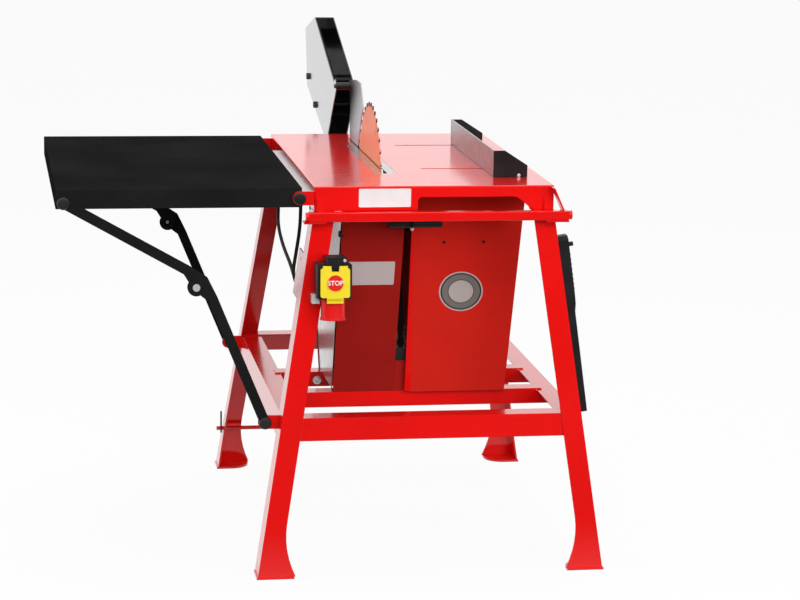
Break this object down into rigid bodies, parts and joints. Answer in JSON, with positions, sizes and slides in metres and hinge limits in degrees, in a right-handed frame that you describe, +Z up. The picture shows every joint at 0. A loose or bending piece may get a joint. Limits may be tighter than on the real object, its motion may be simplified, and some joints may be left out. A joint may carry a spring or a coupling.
{
  "type": "site table saw",
  "caption": "Site circular table saw on splayed legs with raised blade guard, rip fence, folding side extension on jointed struts, front rail and a flap switch with inlet.",
  "frame": {"origin": "centre of the bounding box in plan, at floor level", "axes": "+X to the operator's right, +Y away from the operator along the cut, +Z up"},
  "size_m": [1.194, 1.3868, 1.1048],
  "materials": {
    "red_paint": "gloss",
    "black_paint": "satin",
    "zinc": "satin",
    "steel": "satin",
    "blade_paint": "satin",
    "carbide": "satin",
    "cast": "matt",
    "motor_grey": "satin",
    "rubber": "matt",
    "black_plastic": "matt",
    "grey_plastic": "matt",
    "yellow_plastic": "gloss",
    "red_plastic": "gloss",
    "green_plastic": "gloss",
    "plate": "satin",
    "fence_metal": "satin"
  },
  "bodies": {
    "frame": {"table_top": "red_paint", "table_insert": "zinc", "leg_front_left": "red_paint", "leg_front_right": "red_paint", "leg_rear_left": "red_paint", "leg_rear_right": "red_paint", "stretchers_long": "red_paint", "stretcher_left": "red_paint", "stretcher_right": "red_paint", "crossbars": "red_paint", "front_rail": "red_paint", "rail_caps": "red_paint", "rail_brackets": "red_paint", "blade_housing": "red_paint", "housing_door": "zinc", "motor_cover": "red_paint", "blank_plates": "plate", "bearing_block": "cast", "motor_body": "motor_grey", "motor_base": "black_paint", "motor_fan_cover": "black_plastic", "drive_belt": "rubber", "riving_knife": "black_paint", "knife_bracket": "steel", "guard_pivot": "black_paint", "switch_bracket": "red_paint", "switch_box": "black_plastic", "inlet_shroud": "red_plastic", "cable_glands": "grey_plastic", "lead_motor": "rubber", "lead_guard": "rubber", "pivot_ears": "red_paint", "frame_pins": "black_plastic", "axle": "red_paint", "axle_clip": "black_plastic", "frame_bolts": "zinc"},
    "arbor": {"saw_blade": "blade_paint", "blade_tips": "carbide", "arbor_shaft": "steel", "arbor_flanges": "steel", "arbor_nut": "steel"},
    "motor_rotor": {"motor_shaft": "steel"},
    "guard": {"guard_hood": "black_paint", "guard_bolts": "steel"},
    "fence": {"fence_plate": "fence_metal", "fence_ends": "black_plastic", "fence_bolts": "zinc", "fence_knobs": "black_plastic"},
    "lever": {"lever_bar": "black_paint", "lever_grip": "black_plastic"},
    "extension": {"extension_panel": "black_paint", "strut_pins": "black_plastic"},
    "upper_links": {"strut_upper": "black_paint"},
    "lower_links": {"strut_lower": "black_paint", "knee_screws": "zinc"},
    "flap": {"stop_flap": "yellow_plastic", "stop_disc": "red_plastic"},
    "start": {"start_button": "green_plastic"},
    "stop": {"stop_button": "red_plastic"},
    "stick": {"push_stick": "black_plastic"}
  },
  "joints": [
    {"name": "blade_spin", "type": "hinge", "parent": "frame", "child": "arbor", "pos_m": [0.132, -0.20131, 0.804], "axis": [1, 0, 0], "continuous": true},
    {"name": "motor_spin", "type": "hinge", "parent": "frame", "child": "motor_rotor", "pos_m": [0.132, -0.28631, 0.447], "axis": [1, 0, 0], "continuous": true},
    {"name": "guard_lift", "type": "hinge", "parent": "frame", "child": "guard", "pos_m": [0.132, 0.12868, 0.976], "axis": [1, 0, 0], "range_deg": [0, 160]},
    {"name": "fence_slide", "type": "slide", "parent": "frame", "child": "fence", "axis": [1, 0, 0], "range_m": [-0.17, 0.038]},
    {"name": "lever_swing", "type": "hinge", "parent": "frame", "child": "lever", "pos_m": [0.172, -0.08131, 0.64], "axis": [1, 0, 0], "range_deg": [0, 30]},
    {"name": "extension_fold", "type": "hinge", "parent": "frame", "child": "extension", "pos_m": [-0.081, -0.20131, 0.825], "axis": [0, -1, 0], "range_deg": [0, 72]},
    {"name": "upper_link_turn", "type": "hinge", "parent": "extension", "child": "upper_links", "pos_m": [-0.581, -0.20131, 0.818], "axis": [0, -1, 0], "range_deg": [0, 37]},
    {"name": "lower_link_turn", "type": "hinge", "parent": "frame", "child": "lower_links", "pos_m": [-0.15114, -0.20131, 0.335], "axis": [0, -1, 0], "range_deg": [-31, 0]},
    {"name": "flap_lift", "type": "hinge", "parent": "frame", "child": "flap", "pos_m": [-0.013, -0.68437, 0.68958], "axis": [-1, 0, 0], "range_deg": [0, 100]},
    {"name": "start_press", "type": "slide", "parent": "frame", "child": "start", "axis": [0, 0.997, -0.0776], "range_m": [0, 0.0025], "stiffness_N_per_m": 400, "springref_m": -0.001},
    {"name": "stop_press", "type": "slide", "parent": "frame", "child": "stop", "axis": [0, 0.997, -0.0776], "range_m": [0, 0.0025], "stiffness_N_per_m": 400, "springref_m": -0.001},
    {"name": "stick_pull", "type": "slide", "parent": "frame", "child": "stick", "axis": [0.9887, 0, 0.1501], "range_m": [0, 0.06]}
  ],
  "couplings": [
    {"joint": "motor_spin", "follows": "blade_spin", "ratio": 1},
    {"joint": "upper_link_turn", "follows": "extension_fold", "ratio": 0.49202},
    {"joint": "lower_link_turn", "follows": "extension_fold", "ratio": -0.39948}
  ]
}
